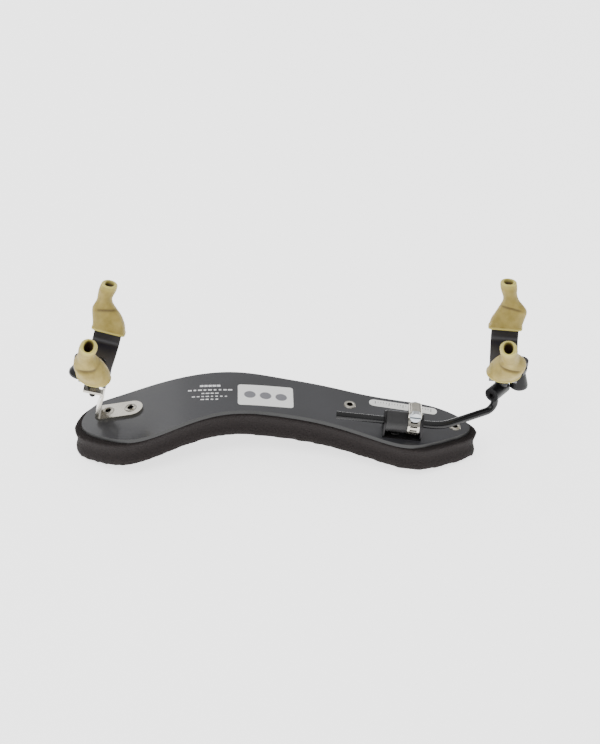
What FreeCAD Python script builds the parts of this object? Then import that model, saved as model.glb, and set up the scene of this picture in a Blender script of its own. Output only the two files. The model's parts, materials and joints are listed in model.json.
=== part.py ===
"""Violin shoulder rest: an arched plate on a foam pad, with a gripping fork at each end.

Millimetres, +Z up.  X runs along the rest, from the chest end (-X) to the shoulder end (+X),
and Y runs across it.  The chest fork stands on a bent bracket with a threaded height stud.
The shoulder fork stands on a bent rod that slides and turns in a clamp on the plate.
"""
import os
from math import asin, cos, degrees, pi, radians, sin, sqrt, tan

import FreeCAD
import Part

os.makedirs("parts", exist_ok=True)
V = FreeCAD.Vector

# ---------------------------------------------------------------- plate and pad
plate_length = 192.0
plate_thickness = 2.0
foam_thickness = 12.5
foam_side_overhang = 1.2
foam_end_overhang = 4.2
crest_x = -24.5            # highest point of the arch, from the middle of the plate
crest_radius = 205.0
chest_limb_angle = 12.0    # slope of the straight limb at the chest end, degrees
shoulder_limb_angle = 5.5
crest_height = 24.0
pocket_clearance = 0.5     # foam cut away around what sticks out under the plate

# The outline: how far along the plate, where its middle line lies in Y, and how wide it is.
outline_stations = [
    (0.055, -4.2, 30.2),
    (0.14, -5.0, 42.0),
    (0.27, 3.6, 39.5),
    (0.38, 9.6, 33.6),
    (0.50, 9.4, 30.4),
    (0.62, 6.6, 30.2),
    (0.74, 0.6, 33.2),
    (0.84, -2.6, 36.2),
    (0.925, -0.7, 26.3),
]
chest_tip_y = -7.5
shoulder_tip_y = -0.5

# ---------------------------------------------------------------- eyelets, sheet metal, labels
eyelet_hole_radius = 1.5
eyelet_tube = 0.5
eyelet_flange_radius = 3.1
eyelet_flange_height = 0.6
eyelet_spacing = 53.0      # the two spare clamp holes, either side of the clamp
eyelet_row_offset = 16.0   # how far the row of holes lies behind the rod
eyelet_row_turn = 9.7
assembly_gap = 0.03        # between a rivet or screw and its hole in the same body
label_thickness = 0.12
picture_label = (27.5, 17.0, 1.5)
picture_label_place = (-5.8, 7.6)
label_turn = 2.5
scale_label = (34.0, 5.3, 2.4)
scale_label_place = (63.0, 10.6)
scale_turn = -4.0

# ---------------------------------------------------------------- chest bracket
sheet = 1.2
bracket_width = 11.5
bracket_fold_x = -90.6     # outside of the fold, from the middle of the plate
bracket_y = -0.8
bracket_foot_length = 25.0
bracket_leg_length = 16.8
bracket_leg_lean = 17.8
bracket_bend_radius = 1.2
bracket_rivet_pitch = 11.4
bracket_rivet_end_gap = 6.0
flange_reach = 9.6

# ---------------------------------------------------------------- forks
fork_width = 13.5
fork_thickness = 2.4
fork_flat_half = 18.2      # from the middle of the bar to the bends
fork_arm_angle = 67.0
fork_arm_length = 15.2
tongue_width = 8.0         # the narrow end of an arm, inside the rubber
tongue_offset = -1.5
tongue_start = 7.5         # along the arm, from the bend
fork_bend_radius = 3.0
ear_reach = 8.6            # middle of the bar to the clamp screw
ear_radius = 3.7
swing_limit = 12.0         # how far a fork swings either way
swivel_gap = 0.10          # between faces that turn over each other
running_fit = 0.05         # radial, in every turning or sliding bore

hub_flange_thickness = 2.0
hub_rim = 1.6              # material left outside the arc slot
hub_radius = 5.4
chest_boss_radius = 4.8
chest_boss_offset = 2.0
chest_hub_height = 4.2
post_radius = 3.2
pivot_radius = 1.6
pivot_head_radius = 3.0
pivot_head_height = 1.4
clamp_screw_radius = 1.5
slot_clearance = 0.35
knob_collar_radius = 2.6
knob_collar_height = 1.0
shoulder_knob = (10.6, 2.5, 4.5)   # length, top radius, end radius
chest_knob = (5.3, 3.4, 4.9)

# ---------------------------------------------------------------- chest height stud
chest_fork_place = (-87.1, -0.8, 45.7)   # middle of the bar, X from the middle of the plate
chest_fork_tilt = 12.0
chest_fork_yaw = -5.0
stud_radius = 1.5
stud_pitch = 0.8
stud_thread_depth = 0.3
stud_tip = 20.0            # below the middle of the bar
nut_across_flats = 5.2
nut_height = 2.3

# ---------------------------------------------------------------- rod clamp
clamp_place = (61.5, -11.5)   # from the middle of the plate
clamp_length = 17.4
cradle_sheet = 0.8
cradle_pivot_x = -3.3      # rivet, from the middle of the clamp
rivet_gap = 0.15
sleeve_radius = 5.2
band_thickness = 0.6
band_width = 5.8
worm_block = (6.4, 7.6, 4.2)
worm_radius = 1.5
worm_head_radius = 3.0
worm_head_height = 2.4
rod_radius = 1.9

# ---------------------------------------------------------------- rod and shoulder fork
shoulder_fork_place = (110.6, 8.7, 47.5)
shoulder_fork_yaw = 175.0
rod_left = 33.0            # rod end to the middle of the clamp
rod_bend_corner = 19.0     # middle of the clamp to the corner of the first bend
rod_bend_radius = 20.0
rod_knee_radius = 4.6
rod_knee_drop = 10.4       # barrel axis to rod axis at the knee
barrel_drop = 16.0         # bar middle to barrel axis
barrel_radius = 3.7
barrel_mouth = 8.4
barrel_heel = 2.6
barrel_turn = 58.0
barrel_bore_radius = 2.1
spigot_reach = 4.8         # post axis to spigot axis
grub_length = 1.7

# ---------------------------------------------------------------- rubber feet
foot_base_half = 8.1
foot_base_thickness = 9.6
foot_length = 25.2
foot_rim_rise = 6.8        # along the arm, from the bend to the rim of the rubber
foot_grip = 0.05


# ---------------------------------------------------------------- shape helpers
def place(shape, frame):
    moved = shape.copy()
    moved.Placement = frame.multiply(moved.Placement)
    return moved


def frame_at(origin, tilt=0.0, yaw=0.0):
    """A frame at origin, first tilted about Y, then turned about Z."""
    turn = FreeCAD.Rotation(V(0, 0, 1), yaw).multiply(FreeCAD.Rotation(V(0, 1, 0), tilt))
    return FreeCAD.Placement(origin, turn)


def rod_shape(radius, height, base=V(0, 0, 0), axis=V(0, 0, 1)):
    return Part.makeCylinder(radius, height, base, axis)


def block(size_x, size_y, z_low, z_high, mid_x=0.0, mid_y=0.0):
    corner = V(mid_x - size_x / 2, mid_y - size_y / 2, z_low)
    return Part.makeBox(size_x, size_y, z_high - z_low, corner)


def hexagon(across_flats, z_low, z_high):
    radius = across_flats / sqrt(3)
    corners = [V(radius * cos(pi * k / 3), radius * sin(pi * k / 3), z_low) for k in range(7)]
    prism = Part.Face(Part.makePolygon(corners)).extrude(V(0, 0, z_high - z_low))
    rounded = Part.makeCone(radius * 1.02, across_flats / 2 * 0.98, radius * 0.1,
                            V(0, 0, z_high - radius * 0.1))
    barrel = rod_shape(radius * 1.02, z_high - z_low - radius * 0.1, V(0, 0, z_low))
    return prism.common(barrel.fuse(rounded))


def revolved(points):
    """Turn (radius, height) points into a solid about Z."""
    corners = [V(r, 0, z) for r, z in points]
    wire = Part.makePolygon(corners + corners[:1])
    return Part.Face(wire).revolve(V(0, 0, 0), V(0, 0, 1), 360)


def rounded_run(points, radii):
    """Lines and tangent arcs along a polyline, as edges."""
    edges = []
    start = points[0]
    for before, corner, after, radius in zip(points, points[1:], points[2:], radii):
        incoming = (corner - before).normalize()
        outgoing = (after - corner).normalize()
        turn = incoming.getAngle(outgoing)
        reach = radius * tan(turn / 2)
        tangent_in = corner - incoming * reach
        tangent_out = corner + outgoing * reach
        inward = (outgoing - incoming).normalize()
        middle = corner + inward * (radius / cos(turn / 2) - radius)
        edges.append(Part.makeLine(start, tangent_in))
        edges.append(Part.Arc(tangent_in, middle, tangent_out).toShape())
        start = tangent_out
    edges.append(Part.makeLine(start, points[-1]))
    return edges


def offset_points(points, distance, normal):
    """Shift a polyline sideways, keeping its corners mitred."""
    shifted = []
    count = len(points)
    for index, point in enumerate(points):
        sides = []
        if index > 0:
            sides.append(normal.cross(point - points[index - 1]).normalize())
        if index < count - 1:
            sides.append(normal.cross(points[index + 1] - point).normalize())
        if len(sides) == 1:
            shifted.append(point + sides[0] * distance)
        else:
            half = (sides[0] + sides[1]).normalize()
            shifted.append(point + half * (distance / half.dot(sides[0])))
    return shifted


def bent_strip(points, thickness, inside_radius, width, across):
    """A strip bent along a polyline: points lie on one face, the metal on the other side."""
    other = offset_points(points, thickness, across)
    near_radii = []
    far_radii = []
    for before, corner, after in zip(points, points[1:], points[2:]):
        toward_metal = across.dot((corner - before).cross(after - corner)) > 0
        near_radii.append(inside_radius + thickness if toward_metal else inside_radius)
        far_radii.append(inside_radius if toward_metal else inside_radius + thickness)
    edges = rounded_run(points, near_radii) + rounded_run(other, far_radii)
    edges.append(Part.makeLine(points[0], other[0]))
    edges.append(Part.makeLine(points[-1], other[-1]))
    face = Part.Face(Part.Wire(Part.__sortEdges__(edges)))
    face.translate(across * (-width / 2))
    return face.extrude(across * width)


# ---------------------------------------------------------------- arch of the plate
chest_tangent_x = crest_x - crest_radius * sin(radians(chest_limb_angle))
shoulder_tangent_x = crest_x + crest_radius * sin(radians(shoulder_limb_angle))


def top_height(x):
    """Height of the plate's upper face at x."""
    if x < chest_tangent_x:
        drop = crest_radius * (1 - cos(radians(chest_limb_angle)))
        return crest_height - drop - (chest_tangent_x - x) * tan(radians(chest_limb_angle))
    if x > shoulder_tangent_x:
        drop = crest_radius * (1 - cos(radians(shoulder_limb_angle)))
        return crest_height - drop - (x - shoulder_tangent_x) * tan(radians(shoulder_limb_angle))
    return crest_height - crest_radius + sqrt(crest_radius ** 2 - (x - crest_x) ** 2)


def top_tilt(x):
    """Rotation about Y that lays a flat thing on the plate at x, degrees."""
    if x < chest_tangent_x:
        return -chest_limb_angle
    if x > shoulder_tangent_x:
        return shoulder_limb_angle
    return degrees(asin((x - crest_x) / crest_radius))


def on_plate(x, y, yaw=0.0):
    """A frame lying on the plate's upper face."""
    tilt = FreeCAD.Rotation(V(0, 1, 0), top_tilt(x))
    turn = FreeCAD.Rotation(V(0, 0, 1), yaw)
    return FreeCAD.Placement(V(x, y, top_height(x)), tilt.multiply(turn))


def arch_side(x_from, x_to, depth):
    """Edges of the arch seen from the front, sunk by depth along its normal."""
    radius = crest_radius - depth
    middle_z = crest_height - crest_radius

    def on_arc(angle):
        return V(crest_x + radius * sin(radians(angle)), 0, middle_z + radius * cos(radians(angle)))

    left = on_arc(-chest_limb_angle)
    right = on_arc(shoulder_limb_angle)
    left_end = V(x_from, 0, left.z - (left.x - x_from) * tan(radians(chest_limb_angle)))
    right_end = V(x_to, 0, right.z - (x_to - right.x) * tan(radians(shoulder_limb_angle)))
    middle = on_arc((shoulder_limb_angle - chest_limb_angle) / 2)
    return [Part.makeLine(left_end, left), Part.Arc(left, middle, right).toShape(),
            Part.makeLine(right, right_end)], left_end, right_end


def arch_slab(depth_top, depth_bottom):
    """A slab that follows the arch between two depths, much wider than the rest."""
    reach = plate_length
    top, top_left, top_right = arch_side(-reach, reach, depth_top)
    low, low_left, low_right = arch_side(-reach, reach, depth_bottom)
    edges = top + low + [Part.makeLine(top_left, low_left), Part.makeLine(top_right, low_right)]
    face = Part.Face(Part.Wire(Part.__sortEdges__(edges)))
    face.translate(V(0, -plate_length / 2, 0))
    return face.extrude(V(0, plate_length, 0))


def outline_prism(side_extra, end_extra):
    """The plan outline as a tall prism, grown at the sides and at the ends."""
    far = []
    near = []
    half_length = plate_length / 2
    stretch = (half_length + end_extra) / half_length
    for fraction, middle, width in outline_stations:
        x = (fraction - 0.5) * plate_length * stretch
        far.append(V(x, middle + width / 2 + side_extra, -plate_length / 4))
        near.append(V(x, middle - width / 2 - side_extra, -plate_length / 4))
    shoulder_tip = V(half_length + end_extra, shoulder_tip_y, -plate_length / 4)
    chest_tip = V(-half_length - end_extra, chest_tip_y, -plate_length / 4)
    curve = Part.BSplineCurve()
    curve.interpolate(far + [shoulder_tip] + near[::-1] + [chest_tip], PeriodicFlag=True)
    return Part.Face(Part.Wire(curve.toShape())).extrude(V(0, 0, plate_length / 2))


# ---------------------------------------------------------------- eyelets and rivets
def eyelet(grip_above):
    """A hollow rivet through the plate; grip_above is the metal it holds on top."""
    outer = eyelet_hole_radius + eyelet_tube
    under = -plate_thickness
    bore = eyelet_hole_radius
    lip = eyelet_flange_radius
    rim = eyelet_flange_height
    return revolved([(bore, under - rim), (lip, under - rim * 0.6), (lip, under), (outer, under),
                     (outer, grip_above), (lip, grip_above), (lip - 0.3, grip_above + rim * 0.75),
                     (bore + 0.5, grip_above + rim), (bore, grip_above + rim * 0.7)])


eyelet_hole = eyelet_hole_radius + eyelet_tube + assembly_gap
clamp_frame = on_plate(clamp_place[0], clamp_place[1])
cradle_pivot = clamp_frame.multiply(FreeCAD.Placement(V(cradle_pivot_x, 0, 0), FreeCAD.Rotation()))

row_turn = radians(eyelet_row_turn)
spare_holes = []
for side in (-1, 1):
    step = side * eyelet_spacing / 2
    spare_holes.append(on_plate(clamp_place[0] + 0.9 + step * cos(row_turn),
                                clamp_place[1] + eyelet_row_offset - 1.3 - step * sin(row_turn)))

bracket_frame = on_plate(bracket_fold_x, bracket_y)
bracket_rivets = []
for number in (0, 1):
    along = bracket_foot_length - bracket_rivet_end_gap - number * bracket_rivet_pitch
    bracket_rivets.append(bracket_frame.multiply(FreeCAD.Placement(V(along, 0, 0), FreeCAD.Rotation())))

# ---------------------------------------------------------------- plate and foam
through = rod_shape(eyelet_hole, 60, V(0, 0, -30))
pocket = rod_shape(eyelet_flange_radius + pocket_clearance, eyelet_flange_height + pocket_clearance + 4,
                   V(0, 0, -plate_thickness - eyelet_flange_height - pocket_clearance))

base_plate = outline_prism(0, 0).common(arch_slab(0, plate_thickness))
foam_pad = outline_prism(foam_side_overhang, foam_end_overhang)
foam_pad = foam_pad.common(arch_slab(plate_thickness, plate_thickness + foam_thickness))
for spot in spare_holes + bracket_rivets + [cradle_pivot]:
    base_plate = base_plate.cut(place(through, spot))
    foam_pad = foam_pad.cut(place(pocket, spot))

plate_eyelets = [place(eyelet(0), spot) for spot in spare_holes]
bracket_eyelets = [place(eyelet(sheet), spot) for spot in bracket_rivets]


# ---------------------------------------------------------------- labels
def label(size, spot, turn, rise):
    """A thin sticker that follows the arch under it."""
    length, width, corner = size
    plan = block(length, width, -40, 60)
    upright = [edge for edge in plan.Edges if abs(edge.Vertexes[0].Z - edge.Vertexes[-1].Z) > 1]
    plan = plan.makeFillet(corner, upright)
    plan = place(plan, frame_at(V(spot[0], spot[1], 0), 0, turn))
    return plan.common(arch_slab(-rise, 0))


picture_sticker = label(picture_label, picture_label_place, label_turn, label_thickness)
scale_sticker = label(scale_label, scale_label_place, scale_turn, label_thickness)

# ---------------------------------------------------------------- chest bracket
fork_up = V(sin(radians(chest_fork_tilt)), 0, cos(radians(chest_fork_tilt)))
limb = radians(chest_limb_angle)
fold = V(bracket_fold_x, 0, top_height(bracket_fold_x))
foot_end = fold + V(cos(limb), 0, sin(limb)) * (bracket_foot_length - bracket_width / 2)
lean = radians(bracket_leg_lean)
leg_top = fold + V(sin(lean), 0, cos(lean)) * bracket_leg_length
flange_way = V(-cos(radians(chest_fork_tilt)), 0, sin(radians(chest_fork_tilt)))
flange_end = leg_top + flange_way * flange_reach
chest_bracket = bent_strip([foot_end, fold, leg_top, flange_end], sheet, bracket_bend_radius,
                           bracket_width, V(0, 1, 0))
chest_bracket.translate(V(0, bracket_y, 0))
round_end = rod_shape(bracket_width / 2, sheet, V(bracket_foot_length - bracket_width / 2, 0, 0))
chest_bracket = chest_bracket.fuse(place(round_end, bracket_frame)).removeSplitter()
chest_frame = frame_at(V(*chest_fork_place), chest_fork_tilt, chest_fork_yaw)
flange_low = (leg_top - V(*chest_fork_place)).dot(fork_up)
flange_top = flange_low + sheet
stud_hole = rod_shape(stud_radius + running_fit, 30, V(0, 0, -30))
chest_bracket = chest_bracket.cut(place(stud_hole, chest_frame))
for spot in bracket_rivets:
    chest_bracket = chest_bracket.cut(place(through, spot))

# ---------------------------------------------------------------- forks
fork_low = -fork_thickness / 2
fork_top = fork_thickness / 2
hub_top = fork_low - swivel_gap
hub_flange_low = hub_top - hub_flange_thickness
arm = radians(fork_arm_angle)
arm_way = V(0, cos(arm), sin(arm))


def fork():
    """The fork bar with its two arms: bar along Y, ear toward -X."""
    bend = V(0, fork_flat_half, fork_low)
    tip = bend + arm_way * fork_arm_length
    points = [V(0, -tip.y, tip.z), V(0, -bend.y, bend.z), bend, tip]
    body = bent_strip(points, fork_thickness, fork_bend_radius, fork_width, V(1, 0, 0))
    for side in (-1, 1):
        edge = side * fork_width / 2
        inner = tongue_offset + side * tongue_width / 2
        trim = block(abs(edge - inner) + 1, 12, tongue_start, fork_arm_length + 5,
                     (edge + inner + side) / 2)
        trim = place(trim, FreeCAD.Placement(bend, FreeCAD.Rotation(V(1, 0, 0), fork_arm_angle - 90)))
        body = body.cut(trim).cut(trim.mirror(V(0, 0, 0), V(0, 1, 0)))
    ear = rod_shape(ear_radius, fork_thickness, V(-ear_reach, 0, fork_low))
    body = body.fuse(ear).fuse(block(ear_reach, ear_radius * 2, fork_low, fork_top, -ear_reach / 2))
    body = body.cut(rod_shape(pivot_radius + running_fit, 20, V(0, 0, -10)))
    body = body.cut(rod_shape(clamp_screw_radius + running_fit, 20, V(-ear_reach, 0, -10)))
    return body.removeSplitter()


def hub_flange():
    """The sector under the fork that carries the arc slot for the clamp screw."""
    slot_half = clamp_screw_radius + slot_clearance
    limit = radians(swing_limit)
    half_angle = limit + asin((slot_half + hub_rim) / ear_reach)
    outer = ear_reach + slot_half + hub_rim
    start = V(-outer * cos(half_angle), outer * sin(half_angle), 0)
    finish = V(-outer * cos(half_angle), -outer * sin(half_angle), 0)
    edges = [Part.makeLine(V(0, 0, 0), start),
             Part.Arc(start, V(-outer, 0, 0), finish).toShape(),
             Part.makeLine(finish, V(0, 0, 0))]
    sector = Part.Face(Part.Wire(edges)).extrude(V(0, 0, hub_flange_thickness))
    sector = sector.fuse(rod_shape(hub_radius, hub_flange_thickness))
    ring = rod_shape(ear_reach + slot_half, 4, V(0, 0, -1))
    ring = ring.cut(rod_shape(ear_reach - slot_half, 4, V(0, 0, -1)))
    wedge_far = 2 * ear_reach
    corners = [V(0, 0, -1), V(-wedge_far, wedge_far * tan(limit), -1),
               V(-wedge_far, -wedge_far * tan(limit), -1), V(0, 0, -1)]
    slot = ring.common(Part.Face(Part.makePolygon(corners)).extrude(V(0, 0, 4)))
    for side in (-1, 1):
        end = V(-ear_reach * cos(limit), side * ear_reach * sin(limit), -1)
        slot = slot.fuse(rod_shape(slot_half, 4, end))
    sector = sector.cut(slot)
    sector.translate(V(0, 0, hub_flange_low))
    return sector


def pivot_screw(depth):
    """Slotted screw the fork turns on; its head stands just clear of the bar."""
    head_low = fork_top + swivel_gap
    head_top = head_low + pivot_head_height
    screw = revolved([(0, -depth), (pivot_radius, -depth), (pivot_radius, head_low),
                      (pivot_head_radius, head_low), (pivot_head_radius, head_top - 0.5),
                      (pivot_head_radius * 0.75, head_top), (0, head_top)])
    return screw.cut(block(8, 0.7, head_top - 0.7, head_top + 1))


def clamp_knob(size):
    """Tapered thumb knob with its screw, which runs up through the ear."""
    knob_length, knob_top_radius, knob_end_radius = size
    collar_top = hub_flange_low - swivel_gap
    collar_low = collar_top - knob_collar_height
    low = collar_low - knob_length
    tip = fork_top + 0.8
    knob = revolved([(0, low), (knob_end_radius - 1.2, low), (knob_end_radius, low + 1.0),
                     (knob_end_radius, low + 2.2), (knob_top_radius, collar_low),
                     (knob_collar_radius, collar_low), (knob_collar_radius, collar_top),
                     (clamp_screw_radius, collar_top), (clamp_screw_radius, tip - 0.4),
                     (clamp_screw_radius - 0.4, tip), (0, tip)])
    knob.translate(V(-ear_reach, 0, 0))
    return knob


pivot_hole = rod_shape(pivot_radius + assembly_gap, 20, V(0, 0, -10))
pivot_depth = -hub_flange_low + chest_hub_height * 0.55
fork_body = fork()

# ---------------------------------------------------------------- chest fork, hub, stud and nuts
chest_hub_low = hub_flange_low - chest_hub_height
stud_top = chest_hub_low + chest_hub_height * 0.35
chest_boss = rod_shape(chest_boss_radius, chest_hub_height, V(chest_boss_offset, 0, chest_hub_low))
chest_hub = hub_flange().fuse(chest_boss)
chest_hub = chest_hub.removeSplitter()
chest_hub = chest_hub.cut(rod_shape(pivot_radius + assembly_gap, 20, V(0, 0, -pivot_depth)))
chest_hub = chest_hub.cut(rod_shape(stud_radius, stud_top - chest_hub_low + 5, V(0, 0, chest_hub_low - 5)))

thread = [(0, stud_top), (stud_radius, stud_top)]
height = chest_hub_low
while height > -stud_tip + 2 * stud_pitch:
    thread += [(stud_radius, height), (stud_radius - stud_thread_depth, height - stud_pitch * 0.3),
               (stud_radius, height - stud_pitch * 0.6)]
    height -= stud_pitch
thread += [(stud_radius, -stud_tip + 0.6), (stud_radius - 0.5, -stud_tip), (0, -stud_tip)]
height_stud = revolved(thread)

nut_bore = rod_shape(stud_radius + running_fit, 40, V(0, 0, -30))
nut_gap = swivel_gap
upper_nut = hexagon(nut_across_flats, flange_top + nut_gap, flange_top + nut_gap + nut_height)
upper_nut = upper_nut.cut(nut_bore)
lower_nut = hexagon(nut_across_flats, flange_low - nut_gap - nut_height, flange_low - nut_gap)
lower_nut = lower_nut.cut(nut_bore)

# ---------------------------------------------------------------- shoulder holder
shoulder_frame = frame_at(V(*shoulder_fork_place), 0, shoulder_fork_yaw)
barrel_turned = FreeCAD.Placement(V(0, 0, -barrel_drop), FreeCAD.Rotation(V(0, 0, 1), barrel_turn))
barrel = rod_shape(barrel_radius, barrel_mouth + barrel_heel, V(-barrel_heel, 0, 0), V(1, 0, 0))
barrel = barrel.cut(rod_shape(barrel_bore_radius, barrel_mouth, V(spigot_reach - 1, 0, 0), V(1, 0, 0)))
spigot_top = barrel_bore_radius + 0.9
spigot_hole = rod_shape(rod_radius + running_fit, 20 + spigot_top + 0.1, V(spigot_reach, 0, -20))
barrel = barrel.cut(spigot_hole)
post = rod_shape(post_radius, barrel_drop + hub_flange_low, V(0, 0, -barrel_drop))
post = post.cut(place(rod_shape(barrel_radius - 0.2, 30, V(-15, 0, 0), V(1, 0, 0)), barrel_turned))
shoulder_holder = hub_flange().fuse(post).fuse(place(barrel, barrel_turned)).removeSplitter()
shoulder_holder = shoulder_holder.cut(rod_shape(pivot_radius + assembly_gap, 20, V(0, 0, -pivot_depth)))

grub_face = spigot_reach + rod_radius + running_fit
grub_screw = rod_shape(barrel_bore_radius - assembly_gap, grub_length, V(grub_face, 0, 0), V(1, 0, 0))
socket = hexagon(1.8, 0, 2)
socket.rotate(V(0, 0, 0), V(0, 1, 0), 90)
socket.translate(V(grub_face + grub_length - 1.0, 0, 0))
grub_screw = place(grub_screw.cut(socket), barrel_turned)

# ---------------------------------------------------------------- rod
spigot_foot = shoulder_frame.multiply(barrel_turned).multVec(V(spigot_reach, 0, 0))
axis_height = cradle_sheet + swivel_gap + eyelet_flange_height + rivet_gap + sleeve_radius
clamp_axis = clamp_frame.multVec(V(0, 0, axis_height))
clamp_way = clamp_frame.Rotation.multVec(V(1, 0, 0))
knee = spigot_foot - V(0, 0, rod_knee_drop)
rod_end = clamp_axis - clamp_way * rod_left
rod_corner = clamp_axis + clamp_way * rod_bend_corner
spigot_end = spigot_foot + V(0, 0, spigot_top)
rod_edges = rounded_run([rod_end, rod_corner, knee, spigot_end], [rod_bend_radius, rod_knee_radius])
rod_wire = Part.Wire(rod_edges)
rod_section = Part.Wire(Part.Circle(rod_end, clamp_way, rod_radius).toShape())
support_rod = rod_wire.makePipeShell([rod_section], True, True)

# ---------------------------------------------------------------- clamp on the plate
cheek_x = clamp_length / 2
cradle = block(clamp_length, sleeve_radius * 1.9, 0, cradle_sheet)
for side in (-1, 1):
    x_low = side * cheek_x - (cradle_sheet if side < 0 else 0)
    cheek = Part.makeBox(cradle_sheet, sleeve_radius * 1.9, axis_height,
                         V(x_low, -sleeve_radius * 0.95, 0))
    cheek = cheek.fuse(rod_shape(sleeve_radius * 0.95, cradle_sheet, V(x_low, 0, axis_height), V(1, 0, 0)))
    cradle = cradle.fuse(cheek)
cradle = cradle.removeSplitter()
cradle = cradle.cut(rod_shape(rod_radius + 0.4, 40, V(-20, 0, axis_height), V(1, 0, 0)))
pivot_outer = eyelet_hole_radius + eyelet_tube
cradle = cradle.cut(rod_shape(pivot_outer + running_fit, 10, V(cradle_pivot_x, 0, -5)))

sleeve_end = cheek_x - swivel_gap
sleeve = rod_shape(sleeve_radius, 2 * sleeve_end, V(-sleeve_end, 0, axis_height), V(1, 0, 0))
sleeve = sleeve.cut(rod_shape(rod_radius + running_fit, 40, V(-20, 0, axis_height), V(1, 0, 0)))
band_right = sleeve_end - 0.9
band_x = band_right - band_width / 2
band = rod_shape(sleeve_radius + band_thickness, band_width, V(band_x - band_width / 2, 0, axis_height),
                 V(1, 0, 0))
band = band.cut(rod_shape(sleeve_radius, 40, V(-20, 0, axis_height), V(1, 0, 0)))

worm_z = axis_height + sleeve_radius + band_thickness + worm_block[2] / 2 - 0.3
worm_housing = block(worm_block[0], worm_block[1], worm_z - worm_block[2] / 2,
                     worm_z + worm_block[2] / 2, band_x)
upper = [edge for edge in worm_housing.Edges
         if abs(edge.Vertexes[0].Y - edge.Vertexes[-1].Y) > 1 and edge.Vertexes[0].Z > worm_z]
worm_housing = worm_housing.makeFillet(worm_block[2] * 0.42, upper)
band_solid = rod_shape(sleeve_radius + band_thickness, 40, V(-20, 0, axis_height), V(1, 0, 0))
worm_housing = worm_housing.cut(band_solid)
worm_bore = rod_shape(worm_radius + running_fit, 40, V(band_x, -20, worm_z), V(0, 1, 0))
worm_housing = worm_housing.cut(worm_bore)

head_low = worm_block[1] / 2 + swivel_gap
worm_head = hexagon(worm_head_radius * 2 * cos(pi / 6), 0, worm_head_height)
worm_head = worm_head.cut(block(8, 0.8, worm_head_height - 1.0, worm_head_height + 1))
worm_shank = rod_shape(worm_radius, worm_block[1] + 2 * swivel_gap + 0.6,
                       V(0, 0, -worm_block[1] - 2 * swivel_gap - 0.6))
keeper = rod_shape(worm_radius + 0.5, 0.6, V(0, 0, -worm_block[1] - 2 * swivel_gap - 0.6))
worm_screw = worm_head.fuse(worm_shank).fuse(keeper).removeSplitter()
worm_screw.rotate(V(0, 0, 0), V(1, 0, 0), 90)
worm_screw.translate(V(band_x, -head_low, worm_z))

cradle_rivet = eyelet(cradle_sheet + swivel_gap)

# ---------------------------------------------------------------- rubber feet
rim_start = V(0, fork_flat_half, fork_low) + arm_way * foot_rim_rise
out_way = V(0, sin(arm), -cos(arm))


def foot():
    """A rubber foot in its own frame: X inward over the violin's edge, Z along the arm."""
    half = foot_base_half
    tall = foot_length
    profile = [(-half, 0), (-half * 0.92, tall * 0.15), (-half * 1.22, tall * 0.37),
               (-half * 0.95, tall * 0.6), (-half * 0.85, tall * 0.8), (-half * 0.32, tall),
               (half * 0.2, tall * 0.86), (half * 0.02, tall * 0.62), (half * 0.3, tall * 0.49),
               (half * 0.78, tall * 0.28), (half, 0)]
    curve = Part.BSplineCurve()
    curve.interpolate([V(x, 0, z) for x, z in profile])
    wire = Part.Wire([curve.toShape(), Part.makeLine(V(half, 0, 0), V(-half, 0, 0))])
    side = Part.Face(wire)
    side.translate(V(0, -half * 2, 0))
    side = side.extrude(V(0, half * 4, 0))
    thick = foot_base_thickness / 2
    edge = [(-thick, 0), (-thick * 1.15, tall * 0.3), (-thick * 0.75, tall * 0.62),
            (-thick * 0.6, tall * 0.88), (thick * 0.4, tall * 1.06), (thick * 1.35, tall * 0.9),
            (thick * 1.25, tall * 0.62), (thick * 1.15, tall * 0.3), (thick, 0)]
    curve = Part.BSplineCurve()
    curve.interpolate([V(0, y, z) for y, z in edge])
    wire = Part.Wire([curve.toShape(), Part.makeLine(V(0, thick, 0), V(0, -thick, 0))])
    front = Part.Face(wire)
    front.translate(V(-half * 2, 0, 0))
    front = front.extrude(V(half * 4, 0, 0))
    body = side.common(front)
    seat = fork_arm_length - foot_rim_rise
    grip = fork_thickness / 2 + foot_grip
    pocket_box = block(fork_width + 2 * foot_grip, 2 * grip, -5, tongue_start - foot_rim_rise)
    tongue_box = block(tongue_width + 2 * foot_grip, 2 * grip, -5, seat, tongue_offset)
    pocket_box = pocket_box.fuse(tongue_box)
    mouth = Part.makeCone(1.3, 2.5, 7.0, V(0, 0, 0), V(0, 0, 1))
    mouth.rotate(V(0, 0, 0), V(1, 0, 0), -14)
    mouth.translate(V(-half * 0.36, thick * 0.25, tall - 6.2))
    return body.cut(pocket_box).cut(mouth)


def foot_frame(side):
    """Where a foot sits on the rear (+1) or front (-1) arm of a fork."""
    middle = rim_start + V(0, -sin(arm), cos(arm)) * (fork_thickness / 2)
    base = V(0, middle.y * side, middle.z)
    along = V(0, arm_way.y * side, arm_way.z)
    inner = V(0, -sin(arm) * side, cos(arm))
    cross = V(1, 0, 0)
    turn = FreeCAD.Rotation(cross, inner, along, "ZXY")
    return FreeCAD.Placement(base, turn)


foot_body = foot()
mirrored_foot = foot_body.mirror(V(0, 0, 0), V(0, 1, 0))


def feet_of(frame):
    rear = place(mirrored_foot, frame.multiply(foot_frame(1)))
    front = place(foot_body, frame.multiply(foot_frame(-1)))
    return front, rear


chest_front, chest_rear = feet_of(chest_frame)
shoulder_rear, shoulder_front = feet_of(shoulder_frame)

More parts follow.
